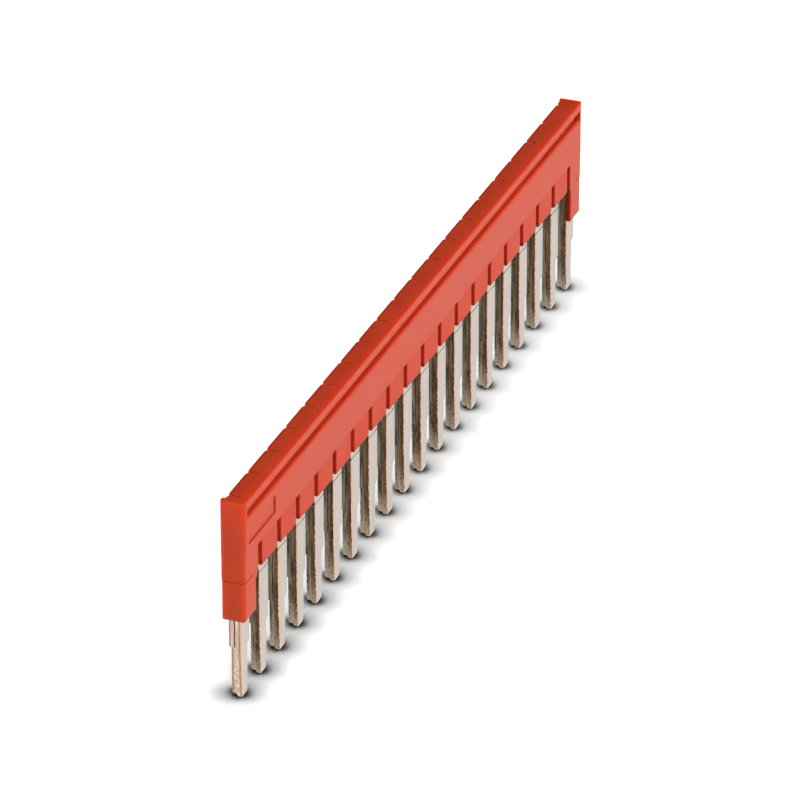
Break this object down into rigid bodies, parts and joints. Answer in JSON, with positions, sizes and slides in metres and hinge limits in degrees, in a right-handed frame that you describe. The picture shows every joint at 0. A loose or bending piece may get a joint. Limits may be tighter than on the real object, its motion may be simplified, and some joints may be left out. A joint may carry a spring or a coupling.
{
  "type": "terminal block jumper",
  "caption": "Long plug-in jumper bar: a slim slotted red housing with a grip groove holds tinned copper contact combs, whose double-leaf legs bridge a row of rail terminals.",
  "frame": {"origin": "middle of the row of legs, at the level of the leg tips", "axes": "+X along the row of legs, +Y from the labelled front to the plain rear, +Z from the leg tips to the housing's top"},
  "size_m": [0.102, 0.0028, 0.0227],
  "materials": {
    "housing_plastic": "moulded polyamide, fine satin",
    "contact_metal": "tin-plated copper sheet with bare stamped edges"
  },
  "bodies": {
    "root": {"housing": "housing_plastic", "front_contact_comb": "contact_metal", "rear_contact_comb": "contact_metal"}
  },
  "joints": []
}
